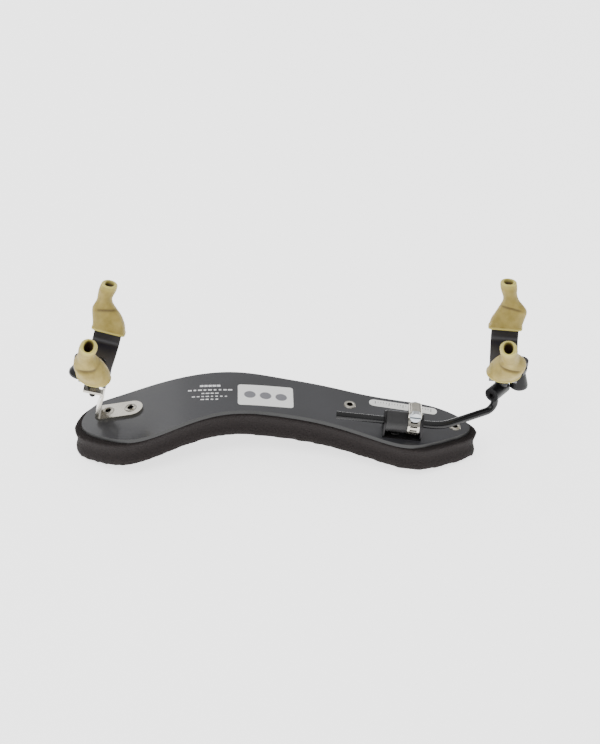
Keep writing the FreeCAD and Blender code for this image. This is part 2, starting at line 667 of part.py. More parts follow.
# ---------------------------------------------------------------- gather, centre and write
nodes = {
    "base_plate": [base_plate],
    "foam_pad": [foam_pad],
    "plate_eyelets": plate_eyelets,
    "bracket_eyelets": bracket_eyelets,
    "picture_sticker": [picture_sticker],
    "scale_sticker": [scale_sticker],
    "chest_bracket": [chest_bracket],
    "height_stud": [place(height_stud, chest_frame)],
    "chest_hub": [place(chest_hub, chest_frame)],
    "chest_pivot_screw": [place(pivot_screw(pivot_depth), chest_frame)],
    "chest_fork": [place(fork_body, chest_frame)],
    "chest_clamp_knob": [place(clamp_knob(chest_knob), chest_frame)],
    "upper_height_nut": [place(upper_nut, chest_frame)],
    "lower_height_nut": [place(lower_nut, chest_frame)],
    "chest_foot_front": [chest_front],
    "chest_foot_rear": [chest_rear],
    "clamp_cradle": [place(cradle, clamp_frame)],
    "cradle_rivet": [place(cradle_rivet, cradle_pivot)],
    "clamp_sleeve": [place(sleeve, clamp_frame)],
    "clamp_band": [place(band, clamp_frame)],
    "worm_housing": [place(worm_housing, clamp_frame)],
    "worm_screw": [place(worm_screw, clamp_frame)],
    "support_rod": [support_rod],
    "shoulder_holder": [place(shoulder_holder, shoulder_frame)],
    "holder_grub_screw": [place(grub_screw, shoulder_frame)],
    "shoulder_pivot_screw": [place(pivot_screw(pivot_depth), shoulder_frame)],
    "shoulder_fork": [place(fork_body, shoulder_frame)],
    "shoulder_clamp_knob": [place(clamp_knob(shoulder_knob), shoulder_frame)],
    "shoulder_foot_front": [shoulder_front],
    "shoulder_foot_rear": [shoulder_rear],
}

shapes = {}
for name, pieces in nodes.items():
    solids = [solid for piece in pieces for solid in piece.Solids]
    shapes[name] = solids[0] if len(solids) == 1 else Part.makeCompound(solids)
box = Part.makeCompound(list(shapes.values())).optimalBoundingBox(False)
centre = V((box.XMin + box.XMax) / 2, (box.YMin + box.YMax) / 2, box.ZMin)
for name, shape in shapes.items():
    shape.translate(centre * -1)
    shape.exportStep("parts/" + name + ".step")
    print(name, len(shape.Solids), "solid", round(shape.Volume, 1), "mm3", shape.isValid())
print("size", round(box.XLength, 2), round(box.YLength, 2), round(box.ZLength, 2))
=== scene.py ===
# %% [markdown]
# # A violin shoulder rest, finished in Blender
# The rest is a thin arched plate on a foam pad. A fork with rubber feet stands at each end and
# grips the edge of the violin. Its hard parts come in from the imported CAD model, already at real
# size and in place. This script gives them their finishes, and draws the band's punched slots in
# one. It builds the soft parts (foam and rubber) again with more detail, and lays printed marks on
# the plate and on the small sticker.
#
# The first cell loads the model.

import json
from math import asin, cos, pi, radians, sin

import bmesh
import bpy
from mathutils import Matrix, Vector, noise


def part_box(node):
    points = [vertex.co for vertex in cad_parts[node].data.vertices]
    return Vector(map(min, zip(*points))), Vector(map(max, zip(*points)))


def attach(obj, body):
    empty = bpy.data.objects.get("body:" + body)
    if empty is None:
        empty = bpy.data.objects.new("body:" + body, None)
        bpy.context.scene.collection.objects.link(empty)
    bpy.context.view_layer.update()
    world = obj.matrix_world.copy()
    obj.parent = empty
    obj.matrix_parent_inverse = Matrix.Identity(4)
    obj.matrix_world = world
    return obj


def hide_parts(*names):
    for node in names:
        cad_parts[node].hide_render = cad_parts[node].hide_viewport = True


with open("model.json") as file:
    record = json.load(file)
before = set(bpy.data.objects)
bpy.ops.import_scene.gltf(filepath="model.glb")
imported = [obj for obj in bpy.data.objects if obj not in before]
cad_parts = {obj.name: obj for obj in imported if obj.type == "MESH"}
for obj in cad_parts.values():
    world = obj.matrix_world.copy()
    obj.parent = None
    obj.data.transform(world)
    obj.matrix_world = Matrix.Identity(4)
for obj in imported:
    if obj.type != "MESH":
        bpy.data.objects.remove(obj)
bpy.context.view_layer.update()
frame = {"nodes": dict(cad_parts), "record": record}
NODES = frame["nodes"]
MM = 0.001

# %% [markdown]
# ## Camera
# A camera is placed before anything is made, so that every piece can be judged from the same
# spot. A long lens from a metre away keeps the two ends of the rest at nearly the same size. The
# camera looks along its own -Z, so `to_track_quat` turns that axis towards the target, and a last
# turn about the view axis sets the roll.

# %% Camera
VIEW_DISTANCE = 1.0
VIEW_ELEVATION = 35.0
VIEW_ROLL = 1.6
AIM_POINT = Vector((0.0002, 0.0279, 0.0238))
LENS_MM = 95.3
SENSOR_MM = 36.0

camera_data = bpy.data.cameras.new("camera")
camera_data.lens = LENS_MM
camera_data.sensor_width = SENSOR_MM
camera = bpy.data.objects.new("camera", camera_data)
bpy.context.scene.collection.objects.link(camera)
elevation = radians(VIEW_ELEVATION)
view_back = Vector((0.0, -cos(elevation), sin(elevation)))
camera.location = AIM_POINT + view_back * VIEW_DISTANCE
aim = (-view_back).to_track_quat("-Z", "Y").to_matrix().to_4x4()
roll = Matrix.Rotation(radians(VIEW_ROLL), 4, "Z")
camera.matrix_world = Matrix.Translation(camera.location) @ aim @ roll
bpy.context.scene.camera = camera
print("camera at", [round(v, 3) for v in camera.location])

# %% [markdown]
# ## Studio
# The rest stands on a wide sheet of pale paper under two big soft lights. The world is bright
# overhead and dim near the horizon. The black plate shows mostly what it reflects, so the bright
# part turns it grey, and the dim part gives the metal its dark lines. The floor gets a glow of its
# own further down, once there is a function for materials, which keeps it pale in the shadows.

# %% Floor and lights
FLOOR_HALF = 3.0
FLOOR_DROP = 0.0002         # keeps the floor a hair below the foam, so the two never flicker
DIM_SKY = (0.22, 0.22, 0.23, 1)
BRIGHT_SKY = (1, 1, 1, 1)
DIM_BELOW, BRIGHT_ABOVE = 0.05, 0.75
SKY_STRENGTH = 1.15

floor_mesh = bpy.data.meshes.new("floor")
corners = [(x * FLOOR_HALF, y * FLOOR_HALF, 0) for x, y in ((-1, -1), (1, -1), (1, 1), (-1, 1))]
floor_mesh.from_pydata(corners, [], [(0, 1, 2, 3)])
floor = bpy.data.objects.new("floor", floor_mesh)
floor.location = (0, 0, -FLOOR_DROP)
bpy.context.scene.collection.objects.link(floor)

world = bpy.data.worlds.new("studio")
world.use_nodes = True
sky = world.node_tree
background = sky.nodes["Background"]
way = sky.nodes.new("ShaderNodeTexCoord")
split = sky.nodes.new("ShaderNodeSeparateXYZ")
ramp = sky.nodes.new("ShaderNodeValToRGB")
sky.links.new(way.outputs["Generated"], split.inputs[0])
sky.links.new(split.outputs["Z"], ramp.inputs[0])
sky.links.new(ramp.outputs[0], background.inputs["Color"])
dim_stop, bright_stop = ramp.color_ramp.elements
dim_stop.position = DIM_BELOW
dim_stop.color = DIM_SKY
bright_stop.position = BRIGHT_ABOVE
bright_stop.color = BRIGHT_SKY
background.inputs["Strength"].default_value = SKY_STRENGTH
bpy.context.scene.world = world


def soft_light(name, place, size, power):
    """A square area light that points at the middle of the rest."""
    data = bpy.data.lights.new(name, "AREA")
    data.size = size
    data.energy = power
    lamp = bpy.data.objects.new(name, data)
    lamp.location = place
    lamp.rotation_euler = (AIM_POINT - Vector(place)).to_track_quat("-Z", "Y").to_euler()
    bpy.context.scene.collection.objects.link(lamp)


soft_light("key", place=(-0.6, -0.7, 1.3), size=0.9, power=9.0)
soft_light("back", place=(-0.7, 0.9, 1.0), size=1.0, power=4.0)
print("floor and lights ready")

# %% [markdown]
# ## Colour and nodes
# Hex colours are written as a screen shows them (sRGB). Shaders work in linear light, so one
# function converts them. A second function adds one node, sets its options and inputs, and links
# it, which keeps each material down to a few readable lines. A third links finished sockets to a
# shader. On a Mix node for colours, inputs 0, 6 and 7 are the factor and the two colours, and
# output 2 is the blend.

# %% Helpers for materials


def hex_colour(text):
    """Turn an sRGB hex string into the linear RGBA that shaders expect."""
    channels = [int(text[i:i + 2], 16) / 255 for i in (1, 3, 5)]
    linear = [c / 12.92 if c <= 0.04045 else ((c + 0.055) / 1.055) ** 2.4 for c in channels]
    return (*linear, 1.0)


def add_node(tree, kind, settings=None, inputs=None, links=None):
    """Add a node; inputs and links map an input's name or number to its value or its source."""
    node = tree.nodes.new(kind)
    for key, value in (settings or {}).items():
        setattr(node, key, value)
    for key, value in (inputs or {}).items():
        node.inputs[key].default_value = value
    for key, socket in (links or {}).items():
        tree.links.new(socket, node.inputs[key])
    return node


def new_material(name, **shader):
    """A material with one Principled shader; the keywords are its own sockets."""
    material = bpy.data.materials.new(name)
    material.use_nodes = True
    bsdf = material.node_tree.nodes["Principled BSDF"]
    for key, value in shader.items():
        socket = key.replace("_", " ").title().replace("Ior", "IOR")
        bsdf.inputs[socket].default_value = value
    return material, material.node_tree, bsdf


FLOOR_GLOW = 1.9
floor_paper, tree, bsdf = new_material("floor_paper", base_color=hex_colour("#FAFAFA"), roughness=0.9,
                                       emission_color=(1, 1, 1, 1), emission_strength=FLOOR_GLOW)
floor_mesh.materials.append(floor_paper)


def feed(tree, bsdf, sockets):
    """Link each named input of the shader to the socket given for it."""
    for name, socket in sockets.items():
        tree.links.new(socket, bsdf.inputs[name])


# %% [markdown]
# ## One recipe for the hard finishes
# Most hard finishes differ in the same few ways: two close colours in slow patches, a roughness
# that drifts a little, and a fine grain in the surface. `grained` builds exactly that. Sizes are
# real: a noise scale is one over the size of its features, so a 0.4 mm grain is a scale of 2500.
# The coordinates are the object's own, in metres, so a pattern has the same size on every piece.
# Noise rarely leaves the middle third of its range, so a Map Range node spreads that part out.

# %% Recipe for a grained finish
NOISE_MIDDLE = {"From Min": 0.35, "From Max": 0.65}
BLEND_RANGE = {"From Min": 0.55, "From Max": 0.95}      # the same for a noise and half of another


def spread_noise(tree, size, stretch=(1, 1, 1), detail=3.0):
    """Noise on the object's coordinates; size is the size of its features in metres."""
    coords = add_node(tree, "ShaderNodeTexCoord")
    mapping = add_node(tree, "ShaderNodeMapping", inputs={"Scale": stretch},
                       links={"Vector": coords.outputs["Object"]})
    texture = add_node(tree, "ShaderNodeTexNoise", inputs={"Scale": 1 / size, "Detail": detail},
                       links={"Vector": mapping.outputs["Vector"]})
    return texture.outputs["Fac"]


def grained(name, low, high, rough, patch, grain, depth, stretch=(1, 1, 1), **shader):
    """A hard finish: patches between two colours, drifting roughness and a fine grain."""
    material, tree, bsdf = new_material(name, **shader)
    slow = spread_noise(tree, patch)
    fine = spread_noise(tree, grain, stretch, 2.0)
    patches = add_node(tree, "ShaderNodeMapRange", inputs=NOISE_MIDDLE, links={"Value": slow})
    colour = add_node(tree, "ShaderNodeMix", {"data_type": "RGBA"},
                      {6: hex_colour(low), 7: hex_colour(high)}, {0: patches.outputs["Result"]})
    blend = add_node(tree, "ShaderNodeMath", {"operation": "MULTIPLY_ADD"}, {1: 0.5}, {0: fine, 2: slow})
    gloss = add_node(tree, "ShaderNodeMapRange",
                     inputs={**BLEND_RANGE, "To Min": rough[0], "To Max": rough[1]},
                     links={"Value": blend.outputs[0]})
    bump = add_node(tree, "ShaderNodeBump", inputs={"Strength": 1.0, "Distance": depth},
                    links={"Height": fine})
    feed(tree, bsdf, {"Base Color": colour.outputs[2], "Roughness": gloss.outputs["Result"],
                      "Normal": bump.outputs["Normal"]})
    return material


# %% [markdown]
# ## Hard materials
# Each name says what the stuff is and how it was finished. The comment says what it gives the
# eye. Nickel and zinc are metals, so their colour is the colour of their reflection. The black
# finishes are all dark, and only their gloss and grain tell them apart.

# %% Metals, paints and plastics
# Bright nickel over a rolled strip: warm white reflections, drawn out by faint rolling lines.
nickel = grained("nickel_plated_steel", "#ABA79D", "#C2BEB4", rough=(0.12, 0.30), patch=9 * MM,
                 grain=0.5 * MM, depth=0.006 * MM, stretch=(0.12, 1, 1), metallic=1.0)
# Zinc is bluer and duller, with the soft bloom of a tumbled part.
zinc = grained("zinc_plated_steel", "#A9AEB3", "#C6C9CB", rough=(0.26, 0.46), patch=5 * MM,
               grain=0.35 * MM, depth=0.01 * MM, metallic=1.0)
# Black oxide stays a metal under a thin dark skin, so edges still flash.
oxide = grained("black_oxide_steel", "#232223", "#343334", rough=(0.28, 0.46), patch=4 * MM,
                grain=0.3 * MM, depth=0.008 * MM, metallic=0.85)
# Powder coat: a satin dark grey with a fine orange peel.
coat = grained("satin_powder_coat", "#201E23", "#2A282D", rough=(0.30, 0.42), patch=14 * MM,
               grain=0.55 * MM, depth=0.02 * MM, ior=1.5)
# The rod is painted harder and glossier, so it carries one clean highlight along its length.
rod_paint = grained("gloss_black_rod_paint", "#070708", "#0E0E10", rough=(0.18, 0.30), patch=20 * MM,
                    grain=0.8 * MM, depth=0.008 * MM, ior=1.5, specular_ior_level=0.35)
# Moulded nylon takes the fine spark-eroded texture of its mould.
nylon = grained("moulded_black_nylon", "#0A0A0B", "#131315", rough=(0.36, 0.52), patch=8 * MM,
                grain=0.28 * MM, depth=0.015 * MM, ior=1.53, specular_ior_level=0.32)
# Smooth rubber tube: matter than the plastic, and a shade lighter.
sleeve_rubber = grained("smooth_black_rubber", "#161516", "#201F20", rough=(0.50, 0.66), patch=6 * MM,
                        grain=0.4 * MM, depth=0.012 * MM, ior=1.52)

# %% [markdown]
# ## Lacquered plate
# The plate is the largest surface and shows the room more than its own colour. A thin clear
# layer over a satin black gives it that grey, even sheen. Two noises break it up: orange peel of
# about a millimetre, and wide faint smudges from hands. The rounded edge gets a painted shade,
# near black, and less of the clear layer. The direction a face looks tells the shader where the
# edge is: the upper face looks almost straight up, even where the plate slopes, and the rounded
# edge turns away from that.

# %% Plate lacquer
# These bounds also say where the painted shade of the edge begins and where it is full.
EDGE_FROM, EDGE_TO = 0.80, 0.965     # upward share of a face's direction: all edge, no edge
plate_lacquer, tree, bsdf = new_material("black_lacquered_alloy", ior=1.5,
                                         coat_roughness=0.14, coat_ior=1.5)
smudge = spread_noise(tree, 24 * MM, detail=4.0)
patches = add_node(tree, "ShaderNodeMapRange", inputs=NOISE_MIDDLE, links={"Value": smudge})
face_colour = add_node(tree, "ShaderNodeMix", {"data_type": "RGBA"},
                       {6: hex_colour("#262629"), 7: hex_colour("#303034")}, {0: patches.outputs["Result"]})
coords = add_node(tree, "ShaderNodeTexCoord")
facing = add_node(tree, "ShaderNodeSeparateXYZ", links={"Vector": coords.outputs["Normal"]})
edge = add_node(tree, "ShaderNodeMapRange",
                inputs={"From Min": EDGE_FROM, "From Max": EDGE_TO, "To Min": 1.0, "To Max": 0.0},
                links={"Value": facing.outputs["Z"]})
# Painted shade: the rounded edge is mixed towards near-black #060606.
colour = add_node(tree, "ShaderNodeMix", {"data_type": "RGBA"}, {7: hex_colour("#060606")},
                  {0: edge.outputs["Result"], 6: face_colour.outputs[2]})
gloss = add_node(tree, "ShaderNodeMapRange", inputs={**NOISE_MIDDLE, "To Min": 0.34, "To Max": 0.48},
                 links={"Value": smudge})
clear_layer = add_node(tree, "ShaderNodeMapRange", inputs={"To Min": 0.30, "To Max": 0.05},
                       links={"Value": edge.outputs["Result"]})
peel = spread_noise(tree, 1.3 * MM, detail=2.0)
bump = add_node(tree, "ShaderNodeBump", inputs={"Strength": 1.0, "Distance": 0.012 * MM},
                links={"Height": peel})
feed(tree, bsdf, {"Base Color": colour.outputs[2], "Roughness": gloss.outputs["Result"],
                  "Coat Weight": clear_layer.outputs["Result"], "Normal": bump.outputs["Normal"]})

# %% [markdown]
# ## Foam, rubber and ink
# Open foam has pores of every size up to about a millimetre. Voronoi distance gives round pits,
# and the middle of each pit gets a painted shade. The rubber reads two numbers that are stored on
# its points when it is built: red says how much painted highlight a thin moulded rim gets, and
# green how much painted shade a fold or the inside of a finger gets. Ink needs only the plain recipe.

# %% Soft materials and ink
PORE = 1.1 * MM
CRUMB = 0.45 * MM
# Dark brown open-cell foam: hardly any shine, and a crumbly broken surface.
foam_cells, tree, bsdf = new_material("open_cell_foam", ior=1.45, roughness=0.96)
coords = add_node(tree, "ShaderNodeTexCoord")
pores = add_node(tree, "ShaderNodeTexVoronoi", inputs={"Scale": 1 / PORE, "Randomness": 1.0},
                 links={"Vector": coords.outputs["Object"]})
crumbs = spread_noise(tree, CRUMB, detail=5.0)
pit = add_node(tree, "ShaderNodeMapRange", inputs={"From Min": 0.05, "From Max": 0.5},
               links={"Value": pores.outputs["Distance"]})
# Painted shade: the middle of each pore is mixed towards #060404.
pore_painted_shade = add_node(tree, "ShaderNodeMix", {"data_type": "RGBA"},
                  {6: hex_colour("#060404"), 7: hex_colour("#161110")}, {0: pit.outputs["Result"]})
dust = add_node(tree, "ShaderNodeMapRange", inputs=NOISE_MIDDLE, links={"Value": crumbs})
colour = add_node(tree, "ShaderNodeMix", {"data_type": "RGBA"}, {7: hex_colour("#1E1716")},
                  {0: dust.outputs["Result"], 6: pore_painted_shade.outputs[2]})
height = add_node(tree, "ShaderNodeMath", {"operation": "ADD"}, links={0: pit.outputs["Result"], 1: crumbs})
bump = add_node(tree, "ShaderNodeBump", inputs={"Strength": 0.8, "Distance": 0.25 * MM},
                links={"Height": height.outputs[0]})
feed(tree, bsdf, {"Base Color": colour.outputs[2], "Normal": bump.outputs["Normal"]})

# Natural khaki rubber: matt and slightly waxy, with a painted highlight at the rims and a brown painted
# shade inside the fingers and in the folds.
khaki, tree, bsdf = new_material("khaki_natural_rubber", ior=1.52, subsurface_weight=0.12,
                                 subsurface_scale=1.2 * MM, subsurface_radius=(1.0, 0.7, 0.3))
mottle = spread_noise(tree, 3.5 * MM, detail=5.0)
patches = add_node(tree, "ShaderNodeMapRange", inputs={"From Min": 0.3, "From Max": 0.7},
                   links={"Value": mottle})
body_colour = add_node(tree, "ShaderNodeMix", {"data_type": "RGBA"},
                       {6: hex_colour("#8C7A34"), 7: hex_colour("#A5924A")}, {0: patches.outputs["Result"]})
# Red is a painted highlight on the rims, in #CFC46A; green is a painted shade in the folds and inside the
# finger, in #3B2A17.
stored = add_node(tree, "ShaderNodeAttribute", {"attribute_name": "painted_light"})
parts = add_node(tree, "ShaderNodeSeparateColor", links={"Color": stored.outputs["Color"]})
with_rim_highlight = add_node(tree, "ShaderNodeMix", {"data_type": "RGBA"}, {7: hex_colour("#CFC46A")},
                     {0: parts.outputs["Red"], 6: body_colour.outputs[2]})
with_fold_shade = add_node(tree, "ShaderNodeMix", {"data_type": "RGBA"}, {7: hex_colour("#3B2A17")},
                      {0: parts.outputs["Green"], 6: with_rim_highlight.outputs[2]})
skin = spread_noise(tree, 0.6 * MM, detail=3.0)
gloss = add_node(tree, "ShaderNodeMapRange", inputs={**NOISE_MIDDLE, "To Min": 0.50, "To Max": 0.66},
                 links={"Value": skin})
bump = add_node(tree, "ShaderNodeBump", inputs={"Strength": 1.0, "Distance": 0.03 * MM},
                links={"Height": skin})
feed(tree, bsdf, {"Base Color": with_fold_shade.outputs[2], "Roughness": gloss.outputs["Result"],
                  "Normal": bump.outputs["Normal"]})

# Printing ink: flat and opaque, its colour a little uneven where it is thin.
INK = {"rough": (0.5, 0.65), "patch": 0.9 * MM, "grain": 0.2 * MM, "depth": 0.004 * MM, "ior": 1.5}
ink_white = grained("white_screen_ink", "#D9D9DB", "#F4F4F4", **INK)
ink_dark = grained("dark_printing_ink", "#2B2B30", "#4A4A50", **INK)

# %% [markdown]
# ## Paper stickers
# The small sticker is plain coated paper. The large one carries three equal grey discs in a row.
# They could be thin pieces laid on top, but flat print is simpler in the material. A disc in a
# shader is a scaled distance: subtract its middle, divide by its radius and take the length,
# which is below 1 inside. Height is scaled by 0, so the arch of the plate doesn't matter.

# %% Stickers
DISC_RADIUS = 2.9 * MM
DISC_STEP = 7.8 * MM
DISC_SOFT = 0.06            # how far the disc's rim is blurred, as a share of its radius

paper_white = grained("coated_paper", "#E9E9E6", "#F6F6F3", rough=(0.40, 0.52), patch=5 * MM,
                      grain=0.3 * MM, depth=0.006 * MM, ior=1.48)


def disc_mask(tree, middle, radius):
    """1 inside an upright round column about middle, 0 outside."""
    coords = add_node(tree, "ShaderNodeTexCoord")
    away = add_node(tree, "ShaderNodeVectorMath", {"operation": "SUBTRACT"}, {1: (*middle, 0.0)},
                    {0: coords.outputs["Object"]})
    scaled = add_node(tree, "ShaderNodeVectorMath", {"operation": "MULTIPLY"},
                      {1: (1 / radius, 1 / radius, 0.0)}, {0: away.outputs[0]})
    length = add_node(tree, "ShaderNodeVectorMath", {"operation": "LENGTH"}, links={0: scaled.outputs[0]})
    inside = add_node(tree, "ShaderNodeMapRange", inputs={"From Min": 1.0 - DISC_SOFT, "To Min": 1.0,
                                                          "From Max": 1.0 + DISC_SOFT, "To Max": 0.0},
                      links={"Value": length.outputs["Value"]})
    return inside.outputs["Result"]


picture_paper, tree, bsdf = new_material("printed_picture_paper", ior=1.48, roughness=0.42)
low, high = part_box("picture_sticker")
middle_x, middle_y = (low[0] + high[0]) / 2, (low[1] + high[1]) / 2
left, centre, right = [disc_mask(tree, (middle_x + place * DISC_STEP, middle_y), DISC_RADIUS)
                       for place in (-1, 0, 1)]
pair = add_node(tree, "ShaderNodeMath", {"operation": "MAXIMUM"}, links={0: left, 1: centre})
discs = add_node(tree, "ShaderNodeMath", {"operation": "MAXIMUM"}, links={0: pair.outputs[0], 1: right})
colour = add_node(tree, "ShaderNodeMix", {"data_type": "RGBA"},
                  {6: hex_colour("#F2F2F0"), 7: hex_colour("#77777C")}, {0: discs.outputs[0]})
fibre = spread_noise(tree, 0.25 * MM)
bump = add_node(tree, "ShaderNodeBump", inputs={"Strength": 1.0, "Distance": 0.005 * MM},
                links={"Height": fibre})
feed(tree, bsdf, {"Base Color": colour.outputs[2], "Normal": bump.outputs["Normal"]})

# %% [markdown]
# ## Punched band
# A hose clamp's band is punched with slots that its worm screw bites into. They are about half a
# millimetre wide, so the band's material draws them as dark dips: the black sleeve that shows
# through each slot, with painted shade in its walls. It measures two things about each point:
# the angle round the rod, from `ARCTAN2`, and the place along the rod. Slots repeat by angle and
# reach a fixed way along. Real slots slant a little, and these run straight.

# %% Band with punched slots
SLOTS_ROUND = 17
SLOT_HALF_LENGTH = 1.7 * MM
SLOT_SHARE = (0.15, 0.2)    # half a slot's share of one step: where its edge begins and ends
SLOT_DEPTH = 0.25 * MM

JOINTS = {joint["name"]: joint for joint in frame["record"]["behaviour"]["joints"]}
clamp_middle = Vector(JOINTS["sleeve_turn"]["pos_m"])
clamp_way = Vector(JOINTS["sleeve_turn"]["axis"]).normalized()
clamp_side = Vector((0, 1, 0))
clamp_up = clamp_way.cross(clamp_side).normalized()
band_low, band_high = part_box("clamp_band")
band_middle = Vector([(a + b) / 2 for a, b in zip(band_low, band_high)])
band_along = (band_middle - clamp_middle).dot(clamp_way)

band_nickel, tree, bsdf = new_material("punched_nickel_band", metallic=1.0)
coords = add_node(tree, "ShaderNodeTexCoord")
away = add_node(tree, "ShaderNodeVectorMath", {"operation": "SUBTRACT"}, {1: clamp_middle},
                {0: coords.outputs["Object"]})
along, sideways, upward = [
    add_node(tree, "ShaderNodeVectorMath", {"operation": "DOT_PRODUCT"}, {1: direction},
             {0: away.outputs[0]}).outputs["Value"] for direction in (clamp_way, clamp_side, clamp_up)]
angle = add_node(tree, "ShaderNodeMath", {"operation": "ARCTAN2"}, links={0: sideways, 1: upward})
steps = add_node(tree, "ShaderNodeMath", {"operation": "MULTIPLY"}, {1: SLOTS_ROUND / (2 * pi)},
                 {0: angle.outputs[0]})
share = add_node(tree, "ShaderNodeMath", {"operation": "FRACT"}, links={0: steps.outputs[0]})
centred = add_node(tree, "ShaderNodeMath", {"operation": "SUBTRACT"}, {1: 0.5}, {0: share.outputs[0]})
across = add_node(tree, "ShaderNodeMath", {"operation": "ABSOLUTE"}, links={0: centred.outputs[0]})
past = add_node(tree, "ShaderNodeMath", {"operation": "SUBTRACT"}, {1: band_along}, {0: along})
reach = add_node(tree, "ShaderNodeMath", {"operation": "ABSOLUTE"}, links={0: past.outputs[0]})
inside = add_node(tree, "ShaderNodeMapRange",
                  inputs={"From Min": SLOT_HALF_LENGTH * 0.9, "From Max": SLOT_HALF_LENGTH * 1.1,
                          "To Min": 1.0, "To Max": 0.0}, links={"Value": reach.outputs[0]})
narrow = add_node(tree, "ShaderNodeMapRange",
                  inputs={"From Min": SLOT_SHARE[0], "From Max": SLOT_SHARE[1],
                          "To Min": 1.0, "To Max": 0.0}, links={"Value": across.outputs[0]})
slot = add_node(tree, "ShaderNodeMath", {"operation": "MULTIPLY"},
                links={0: inside.outputs["Result"], 1: narrow.outputs["Result"]})
# Painted shade, over the black sleeve beneath: each slot is mixed towards #14120F.
colour = add_node(tree, "ShaderNodeMix", {"data_type": "RGBA"},
                  {6: hex_colour("#B5B1A7"), 7: hex_colour("#14120F")}, {0: slot.outputs[0]})
gloss = add_node(tree, "ShaderNodeMapRange", inputs={"To Min": 0.2, "To Max": 0.7},
                 links={"Value": slot.outputs[0]})
land = add_node(tree, "ShaderNodeMath", {"operation": "SUBTRACT"}, {0: 1.0}, {1: slot.outputs[0]})
bump = add_node(tree, "ShaderNodeBump", inputs={"Strength": 1.0, "Distance": SLOT_DEPTH},
                links={"Height": land.outputs[0]})
feed(tree, bsdf, {"Base Color": colour.outputs[2], "Roughness": gloss.outputs["Result"],
                  "Normal": bump.outputs["Normal"]})

# %% [markdown]
# ## Finishes and softened edges on the CAD pieces
# The CAD pieces keep their meshes. Each gets its finish through its material slots, and most get a
# bevel modifier a fraction of a millimetre wide. Real edges are never perfectly sharp, and the
# thin bright line that a bevel catches is what makes metal look like metal. The rivets, the stud
# and grub screw, and the stickers go without one.

# %% Dress the CAD pieces
BEVEL_FROM = radians(38)    # edges that turn less than this are curves, and stay as they are
BEVEL_SEGMENTS = 2
DRESS = {  # the finish and the bevel's width in mm
    "base_plate": (plate_lacquer, 0.8), "plate_eyelets": (nickel, 0), "bracket_eyelets": (nickel, 0),
    "picture_sticker": (picture_paper, 0), "scale_sticker": (paper_white, 0),
    "chest_bracket": (nickel, 0.2), "height_stud": (oxide, 0), "chest_hub": (nylon, 0.25),
    "chest_pivot_screw": (oxide, 0.1), "chest_fork": (coat, 0.35), "chest_clamp_knob": (nylon, 0.3),
    "upper_height_nut": (nickel, 0.1), "lower_height_nut": (nickel, 0.1), "clamp_cradle": (oxide, 0.15),
    "cradle_rivet": (oxide, 0), "clamp_sleeve": (sleeve_rubber, 0.3), "clamp_band": (band_nickel, 0.12),
    "worm_housing": (nickel, 0.12), "worm_screw": (zinc, 0.12), "support_rod": (rod_paint, 0.3),
    "shoulder_holder": (nylon, 0.3), "holder_grub_screw": (oxide, 0), "shoulder_pivot_screw": (oxide, 0.1),
    "shoulder_fork": (coat, 0.35), "shoulder_clamp_knob": (nylon, 0.3),
}
for name, (material, bevel_mm) in DRESS.items():
    node = NODES[name]
    if not node.material_slots:
        raise RuntimeError(name + " has no material slot")
    for slot in node.material_slots:
        slot.material = material
    if bevel_mm:
        bevel = node.modifiers.new("soft_edge", "BEVEL")
        bevel.width = bevel_mm * MM
        bevel.segments = BEVEL_SEGMENTS
        bevel.limit_method = "ANGLE"
        bevel.angle_limit = BEVEL_FROM
        bevel.harden_normals = True
print(len(DRESS), "CAD pieces dressed")

# %% [markdown]
# ## Arch of the plate
# Things laid on the plate or cut to its curve need its height at any x. The arch is one arc
# between two straight limbs, as in the CAD model. The top of the plate's box is its highest point.

# %% Arch
plate_low, plate_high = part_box("base_plate")
PLATE_MIDDLE = (plate_low[0] + plate_high[0]) / 2
CREST = PLATE_MIDDLE - 24.4 * MM     # the highest point lies towards the chest
CREST_TOP = plate_high[2]
ARCH_RADIUS = 205 * MM
CHEST_ANGLE, SHOULDER_ANGLE = radians(12.0), radians(5.5)
PLATE_SHEET = 2.0 * MM


def arch_at(x):
    """(height, slope angle) of the plate's upper face at x."""
    left = CREST - ARCH_RADIUS * sin(CHEST_ANGLE)
    right = CREST + ARCH_RADIUS * sin(SHOULDER_ANGLE)
    nearest = min(max(x, left), right)
    angle = asin((nearest - CREST) / ARCH_RADIUS)
    drop = ARCH_RADIUS * (1 - cos(angle))
    return CREST_TOP - drop - (x - nearest) * sin(angle) / cos(angle), angle


print("crest at x", round(CREST / MM, 1), "mm, height", round(CREST_TOP / MM, 1), "mm")

# %% [markdown]
# ## Foam pad
# The foam is cut from a flat slab and bent under the plate. A voxel remesh of the CAD solid gives
# an even skin of small squares to shape. A few rounds of smoothing round the cut edges. A die
# presses foam as it cuts, and the side springs back hollow, so the side points move in, most at
# half depth, and a little again near the lower edge, where bending squeezes the foam. Last comes
# a fine crumble, from a noise that gives the same answer each time.
#
# Each point's depth below the plate's lower face, as a share of the foam's thickness, says where
# it is: 0 at the plate, 1 at the underside. `smooth_step` turns such a share into a soft switch.

# %% Foam pad
FOAM_THICKNESS = 12.5 * MM
VOXEL = 0.95 * MM
SMOOTHINGS = 9
SIDE_HOLLOW = 1.7 * MM
HOLLOW_POWER = 1.2          # above 1, the hollow gathers towards half depth
TUCK_FROM, TUCK_SLOPE = 0.75, 1.6 * MM
SIDE_FROM, SIDE_SPAN = 0.35, 0.5     # sideways share of a point's normal: not yet a side, span
SETTLE = 0.5 * MM           # gives back what smoothing takes off the underside
SETTLE_FROM, SETTLE_TO = 0.85, 0.98
CRUMBLE = 0.04 * MM
CRUMBLE_FROM = 0.05
TINY = 1e-4                 # a shorter sideways part of a normal has no sure direction
COARSE_CRUMB, FINE_CRUMB, FINE_SHARE = 1.9 * MM, 0.9 * MM, 0.6


def smooth_step(low, high, value):
    """0 below low, 1 above high, and a soft S between them."""
    share = min(max((value - low) / (high - low), 0.0), 1.0)
    return share * share * (3 - 2 * share)


